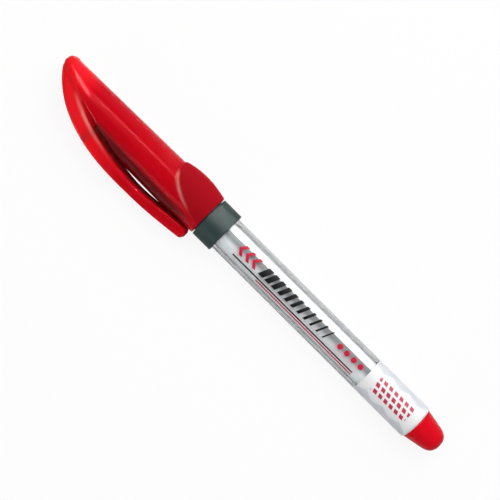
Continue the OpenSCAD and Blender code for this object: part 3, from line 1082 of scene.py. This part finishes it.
from_inside = beside_profile(np.concatenate([inner_side(shares), inner_side(1 - shares)]))
from_edge = np.hypot(from_inside, strip_plan) - EDGE_CUT
edge_run = ramp(along, EDGE_HIGHLIGHT_FROM, EDGE_HIGHLIGHT_WHOLE) ** 2 * ramp(along, EDGE_HIGHLIGHT_TO, EDGE_HIGHLIGHT_FADES)
edge_near = ramp(strip_side, EDGE_HIGHLIGHT_DEPTH, 0) * np.exp(-(from_edge / HIGHLIGHT_WIDTH) ** 2)
edge_highlight = EDGE_HIGHLIGHT * edge_run * edge_near
arch_run = ramp(along, ARCH_HIGHLIGHT_FROM, ARCH_HIGHLIGHT_WHOLE) * ramp(out, ARCH_HIGHLIGHT_LOW, ARCH_HIGHLIGHT_HIGH)
arch_highlight = ARCH_HIGHLIGHT * arch_run * np.exp(-(arch / HIGHLIGHT_WIDTH) ** 2)
painted_edge_highlight = np.maximum(edge_highlight, arch_highlight)

# The mouth, and the two bores for the seat and the inner cap
SOCKET_R = 5.0
SOCKET_LEN = 10.4
LINER_R = 4.2
LINER_LEN = 27.1
MOUTH_EDGE = 0.3
BORES_EDGE = 0.2

bores = np.minimum(np.maximum(from_axis - SOCKET_R, along - SOCKET_LEN),
                   np.maximum(from_axis - LINER_R, along - LINER_LEN))
moulding = trimmed(trimmed(moulding, -along, MOUTH_EDGE), -bores, BORES_EDGE)


def sampled(grid, points):
    """The values of a grid at places in the moulding's own axes."""
    spot = (points - low_corner) / GRID
    base = np.clip(np.floor(spot).astype(int), 0, np.array(grid.shape) - 2)
    part = spot - base
    total = np.zeros(len(points))
    for corner in np.ndindex(2, 2, 2):
        weight = np.prod(np.where(np.array(corner) == 1, part, 1 - part), axis=1)
        total += weight * grid[tuple((base + corner).T)]
    return total


def skin(field):
    """Points and four-sided faces on a solid's surface, one point for each cell that it passes through."""
    cells = np.array(field.shape) - 1
    total = np.zeros((*cells, 3))
    count = np.zeros(cells)
    faces = []
    for axis in range(3):
        near = np.moveaxis(field, axis, 0)[:-1]
        far = np.moveaxis(field, axis, 0)[1:]
        near, far = np.moveaxis(near, 0, axis), np.moveaxis(far, 0, axis)
        edges = np.argwhere((near < 0) != (far < 0))
        start, finish = near[tuple(edges.T)], far[tuple(edges.T)]
        crossing = edges.astype(float)
        crossing[:, axis] += start / (start - finish)
        loop = []
        for one, two in ((0, 0), (1, 0), (1, 1), (0, 1)):
            cell = edges.copy()
            cell[:, (axis + 1) % 3] -= one
            cell[:, (axis + 2) % 3] -= two
            np.add.at(total, tuple(cell.T), crossing)
            np.add.at(count, tuple(cell.T), 1)
            loop.append(np.ravel_multi_index(tuple(cell.T), cells))
        loop = np.stack(loop, 1)
        faces.append(np.where((start < 0)[:, None], loop, loop[:, ::-1]))
    used = count > 0
    number = np.cumsum(used.ravel()) - 1
    return low_corner + GRID * total[used] / count[used][:, None], number[np.concatenate(faces)]


# The skin of the solid, with its points settled on the surface
SETTLE_STEPS = 3

slopes = np.gradient(moulding, GRID)


def facing(points):
    """Which way the surface of the moulding faces at places in its own axes."""
    normals = np.stack([sampled(slope, points) for slope in slopes], 1)
    return normals / np.linalg.norm(normals, axis=1)[:, None]


points, faces = skin(moulding)
for _ in range(SETTLE_STEPS):
    points = points - sampled(moulding, points)[:, None] * facing(points)

own_axes = np.stack([along_way, out_way, wide_way])
mouth_place = np.array([mouth, 0.0, 0.0])
whole = bmesh.new()
spots = [whole.verts.new(spot) for spot in (points @ own_axes + mouth_place) * MM]
for face in faces:
    whole.faces.new([spots[i] for i in face])

# The strip is parted from the body beside its root, straight across. Only faces that lie
# STRIP_CLEAR above the scoop are cut, and a face with more than SKIN_SIDES sides is one that closes the cut.
ROOT_OUTER_SHARE = 0.445
ROOT_INNER_SHARE = 0.404
STRIP_CLEAR = 0.65
FLEX_LEN = 9.0
CUT_REACH = 1e-7
SKIN_SIDES = 6

root_outer = outer_side(ROOT_OUTER_SHARE)
root_inner = inner_side(ROOT_INNER_SHARE)
root = (root_outer + root_inner) / 2
across_root = (root_outer - root_inner) / np.linalg.norm(root_outer - root_inner)
strip_way = np.array([-across_root[1], across_root[0]])


def placed(flat):
    """A place in the clip's own plane, in the frame, in metres."""
    return Vector((np.array([flat[0], flat[1], 0.0]) @ own_axes + mouth_place) * MM)


def above_scoop(face):
    """True for a face on the strip's side of the slot, clear of the scoop."""
    middle = (np.array(face.calc_center_median()) / MM - mouth_place) @ own_axes.T
    return middle[1] > SCOOP_OUT - (middle[0] - SCOOP_FROM) * math.tan(SCOOP_SLOPE) + STRIP_CLEAR


strip_faces = [face for face in whole.faces if above_scoop(face)]
strip_verts = list(dict.fromkeys(vert for face in strip_faces for vert in face.verts))
strip_edges = list(dict.fromkeys(edge for face in strip_faces for edge in face.edges))
parting = bmesh.ops.bisect_plane(
    whole, geom=strip_verts + strip_edges + strip_faces, dist=CUT_REACH, plane_co=placed(root),
    plane_no=placed(root + strip_way) - placed(root))
cut_edges = [item for item in parting["geom_cut"] if isinstance(item, bmesh.types.BMEdge)]
bmesh.ops.split_edges(whole, edges=cut_edges)
whole.verts.ensure_lookup_table()
whole.verts.index_update()
belly_vert = max(whole.verts, key=lambda vert: vert.co.y)
on_clip = {belly_vert.index}
waiting = [belly_vert]
while waiting:
    for edge in waiting.pop().link_edges:
        for vert in edge.verts:
            if vert.index not in on_clip:
                on_clip.add(vert.index)
                waiting.append(vert)


def parted(name, keep):
    """One side of the parted moulding, closed across its root, with the normals of the whole."""
    mesh = whole.copy()
    bmesh.ops.delete(mesh, geom=[vert for vert in mesh.verts if not keep(vert.index)], context="VERTS")
    rim = [edge for edge in mesh.edges if edge.is_boundary]
    bmesh.ops.holes_fill(mesh, edges=rim, sides=0)
    mesh.normal_update()
    own = (np.array([vert.co for vert in mesh.verts]) / MM - mouth_place) @ own_axes.T
    normals = facing(own) @ own_axes
    mesh.verts.index_update()
    corners = []
    for face in mesh.faces:
        closes_root = len(face.verts) > SKIN_SIDES
        for vert in face.verts:
            corners.append(tuple(face.normal if closes_root else normals[vert.index]))
    piece = made_piece(name, mesh)
    piece.data.normals_split_custom_set(corners)
    # Each point carries how much painted highlight it has
    piece.data.attributes.new("painted_edge_highlight", "FLOAT", "POINT").data.foreach_set("value", sampled(painted_edge_highlight, own))
    return piece


cap = parted("red_cap", lambda index: index not in on_clip)
clip = parted("red_pocket_clip", lambda index: index in on_clip)
whole.free()

# The reds of the moulding, and where they change, along from the mouth and out from the axis
RED_DEPTH = 2.5
RED_SPREAD = (1.0, 0.06, 0.08)
RED_DEEP = (0.585, 0.0012, 0.01, 1)
RED_LIVE = (0.61, 0.0016, 0.012, 1)
RED_CLIP = (0.61, 0.003, 0.013, 1)
# Painted shade for the body's underside beside the slot
RED_UNDER_SHADE = (0.1, 0.0003, 0.001, 1)
# Painted light for the tip and the strip's root
RED_PAINTED_GLOW = (1.0, 0.013, 0.024, 1)
# A pale pink painted highlight for the edges
RED_PAINTED_HIGHLIGHT = (1.0, 0.4, 0.36, 1)
RED_SOCKET = (0.36, 0.0015, 0.009, 1)
STRIP_FADE = 1.5
FLANK_LEAN = 0.03
FLANK_FROM, FLANK_WHOLE = 1.6, 4.2
UNDER_WHOLE, UNDER_FADES, UNDER_TO = 8, 36, 43
UNDER_SHADE_SHARE = 0.9
ROOT_GLOW_FROM, ROOT_GLOW_WHOLE = 20, 42
TIP_GLOW_FROM, TIP_GLOW_WHOLE = 41, 49.5
TIP_GLOW_SHARE = 0.75
ARCH_FADE = 0.4
SOCKET_SHARE = 0.8
SOCKET_DULL = 0.8


def moulded_red(name):
    """The moulding's red gloss, a little translucent, with the place along from the mouth and out."""
    finish = red_finish(name, RED_DEEP, RED_LIVE, {
        "Subsurface Weight": 1.0, "Subsurface Radius": RED_SPREAD, "Subsurface Scale": RED_DEPTH * MM})
    return finish, finish.place.along(along_way) - mouth, finish.place.along(out_way)


def paint_highlights(finish, colour):
    """Sets the moulding's colour, with highlights painted pale on its edges as its mesh holds them."""
    highlight_paint_part = finish.place.node("Attribute", {"attribute_name": "painted_edge_highlight"}, output="Fac")
    finish.set("Base Color", highlight_paint_part.between(colour, RED_PAINTED_HIGHLIGHT))


def cap_finish():
    """Painted light at tip and root, painted shade on the body's underside by the slot, a darker swell."""
    finish, from_mouth, outwards = moulded_red("red_cap_gloss")
    over_scoop = outwards - SCOOP_OUT + (from_mouth - SCOOP_FROM) * math.tan(SCOOP_SLOPE)
    on_strip = over_scoop.rising(0.0, STRIP_FADE) * (from_mouth > SCOOP_FROM)
    # Painted shade on the body's underside beside the slot, fading out near the mouth and towards the tip
    flank = (outwards + FLANK_LEAN * from_mouth).rising(FLANK_FROM, FLANK_WHOLE) * (1 - on_strip)
    under_shade = flank * from_mouth.rising(0, UNDER_WHOLE) * from_mouth.rising(UNDER_TO, UNDER_FADES)
    # Painted light: the strip paler towards its root, and the moulding paler towards its tip
    root_glow = on_strip * from_mouth.rising(ROOT_GLOW_FROM, ROOT_GLOW_WHOLE)
    tip_glow = TIP_GLOW_SHARE * from_mouth.rising(TIP_GLOW_FROM, TIP_GLOW_WHOLE)
    glow = on_strip.math("MAXIMUM", root_glow, tip_glow)
    from_arch = from_mouth + ARCH_LEN * ((outwards + ARCH_BACK) / ARCH_SPAN) ** ARCH_POWER
    socket = from_arch.rising(ARCH_LEN + ARCH_FADE, ARCH_LEN - ARCH_FADE)
    body_red = (under_shade * UNDER_SHADE_SHARE).between(finish.fed("Base Color"), RED_UNDER_SHADE)
    tinted = glow.between(on_strip.between(body_red, RED_CLIP), RED_PAINTED_GLOW)
    paint_highlights(finish, (socket * SOCKET_SHARE).between(tinted, RED_SOCKET))
    finish.set("Roughness", finish.fed("Roughness") + SOCKET_DULL * socket)
    return finish


def clip_finish():
    """Paler than the cap's body, with painted light growing towards the root."""
    finish, from_mouth, _ = moulded_red("red_clip_gloss")
    # Painted light, paler towards the root, with pale painted highlights along the edges
    paint_highlights(finish, from_mouth.rising(ROOT_GLOW_FROM, ROOT_GLOW_WHOLE).between(RED_CLIP, RED_PAINTED_GLOW))
    return finish


cap_finish().dress(cap)
clip_finish().dress(clip)
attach(cap, "cap")
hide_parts("cap_shell")
placed(root + FLEX_LEN * strip_way)
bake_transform(clip)
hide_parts("pocket_clip")


# Table and light
# The pen lies on a white table. A large soft box hangs over it, with weaker ones at its front and back, and
# small bright ones show only as highlights on the gloss. The room gives an even light.
TABLE_HALF = 3.0
AMBIENT = 0.12
GLOW_SHARE = 0.9
BACKGROUND_RAYS = ("Is Camera Ray", "Is Glossy Ray", "Is Transmission Ray")
TABLE_GREY = (0.75, 0.75, 0.75, 1)
TABLE_WHITE = (0.9, 0.9, 0.9, 1)
WHITE = (1, 1, 1, 1)

table_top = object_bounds()[0].z
table_mesh = bmesh.new()
for x, y in ((-1, -1), (1, -1), (1, 1), (-1, 1)):
    table_mesh.verts.new((x * TABLE_HALF, y * TABLE_HALF, table_top))
table_mesh.faces.new(table_mesh.verts)
table = made_piece("table", table_mesh)
white_table = Finish("white_table", {"Roughness": 0.7, "Specular IOR Level": 0.1})


def background_seen(tone):
    """1 for a ray that shows the background: straight to the camera, mirrored or through clear plastic."""
    straight, glossy, refracted = [tone.node("LightPath", output=name) for name in BACKGROUND_RAYS]
    shown = tone.math("MAXIMUM", straight, tone.math("MAXIMUM", glossy, refracted))
    return shown * (tone.node("LightPath", output="Diffuse Depth") < 1)


seen = background_seen(white_table.place)
white_table.set("Base Color", seen.between(TABLE_GREY, TABLE_WHITE))
paper = Tone(white_table.tree, white_table.shader.outputs[0])
glow = seen.node("Emission", None, {"Color": WHITE, "Strength": 1.0})
glow_part = GLOW_SHARE * seen.node("LightPath", output="Is Camera Ray")
mixed = seen.node("MixShader", None, {0: glow_part, 1: paper, 2: glow})
white_table.tree.links.new(mixed.socket, white_table.tree.nodes["Material Output"].inputs["Surface"])
white_table.dress(table)

world = bpy.data.worlds.new("studio")
bpy.context.scene.world = world
world.use_nodes = True
sky = world.node_tree.nodes["Background"]
sky.inputs["Color"].default_value = WHITE
strength = AMBIENT + (1 - AMBIENT) * background_seen(Tone(world.node_tree, sky.outputs[0]))
world.node_tree.links.new(strength.socket, sky.inputs["Strength"])

# Lamps and their targets are placed in metres
pen_way = Vector((1, 0, 0))
towards = Vector((0, math.sin(LEAN), math.cos(LEAN)))
clip_side = Vector((0, math.cos(LEAN), -math.sin(LEAN)))
pen_middle = 0.0175 * pen_way
collar_middle = 0.03 * pen_way
cap_middle = 0.06 * pen_way


def behind(along, angle, distance):
    """A place above the pen, turned by an angle from the camera's side towards the pen's back."""
    turn = math.radians(angle)
    return along * pen_way + distance * (math.cos(turn) * towards - math.sin(turn) * clip_side)


def stand(holder, place, right, upward, back):
    """Puts a lamp or a camera at a place, with its three axes along these ways."""
    bpy.context.scene.collection.objects.link(holder)
    holder.matrix_world = Matrix.Translation(place) @ Matrix((right, upward, back)).transposed().to_4x4()


def soft_box(name, place, target, width, height, brightness, highlight=False):
    """A flat lamp that looks at a target. A highlight shows only in gloss, and the other lamps never do."""
    lamp = bpy.data.lights.new(name, "AREA")
    lamp.shape = "RECTANGLE"
    lamp.size = width
    lamp.size_y = height
    lamp.energy = brightness * math.pi * width * height
    holder = bpy.data.objects.new(name, lamp)
    back = (place - target).normalized()
    side = (pen_way - pen_way.dot(back) * back).normalized()
    stand(holder, place, side, back.cross(side), back)
    holder.visible_diffuse = not highlight
    holder.visible_glossy = highlight
    holder.visible_transmission = False


# Each lamp: its place along the pen, angle and distance, its target, width, height and brightness
soft_box("key_box", behind(0.03, 25, 0.6), pen_middle, 0.6, 0.45, 3.6)
soft_box("front_box", behind(0.05, -66, 0.5), pen_middle, 0.40, 0.20, 2.3)
soft_box("back_box", behind(0.04, 62, 0.5), pen_middle, 0.5, 0.20, 2.0)
soft_box("sheen_box", behind(0.09, -62, 0.5), cap_middle, 0.07, 0.16, 5.0, highlight=True)
soft_box("strip_box", behind(0.13, 28, 0.55), cap_middle, 0.08, 0.12, 20.0, highlight=True)
soft_box("rear_box", behind(-0.085, 60, 0.5), cap_middle, 0.31, 0.35, 8.0, highlight=True)
soft_box("collar_box", behind(0.05, 58, 0.5), collar_middle, 0.02, 0.75, 105.0, highlight=True)
soft_box("tip_box", behind(0.26, 13, 0.5), cap_middle, 0.16, 0.22, 85.0, highlight=True)
soft_box("crease_box", behind(0.21, -75, 0.5), cap_middle, 0.08, 0.26, 32.0, highlight=True)


# Camera
# The picture is taken from above, leaning to the clip's side, with the pen from corner to corner. The lens
# is worked out from the width that the picture takes in at the pen.
PICTURE_WIDTH = 132.15 * MM
DISTANCE = 420 * MM
SENSOR_WIDTH = 36
PEN_TURN = math.radians(44.84)
AIM_ALONG = 18.52 * MM
AIM_BACK = 1.45 * MM

right = -math.cos(PEN_TURN) * pen_way - math.sin(PEN_TURN) * clip_side
upward = math.sin(PEN_TURN) * pen_way - math.cos(PEN_TURN) * clip_side
aim = AIM_ALONG * pen_way - AIM_BACK * clip_side
camera = bpy.data.objects.new("camera", bpy.data.cameras.new("camera"))
camera.data.sensor_width = SENSOR_WIDTH
camera.data.lens = SENSOR_WIDTH * DISTANCE / PICTURE_WIDTH
stand(camera, aim + DISTANCE * towards, right, upward, towards)
bpy.context.scene.camera = camera
bpy.context.scene.view_settings.view_transform = "Standard"
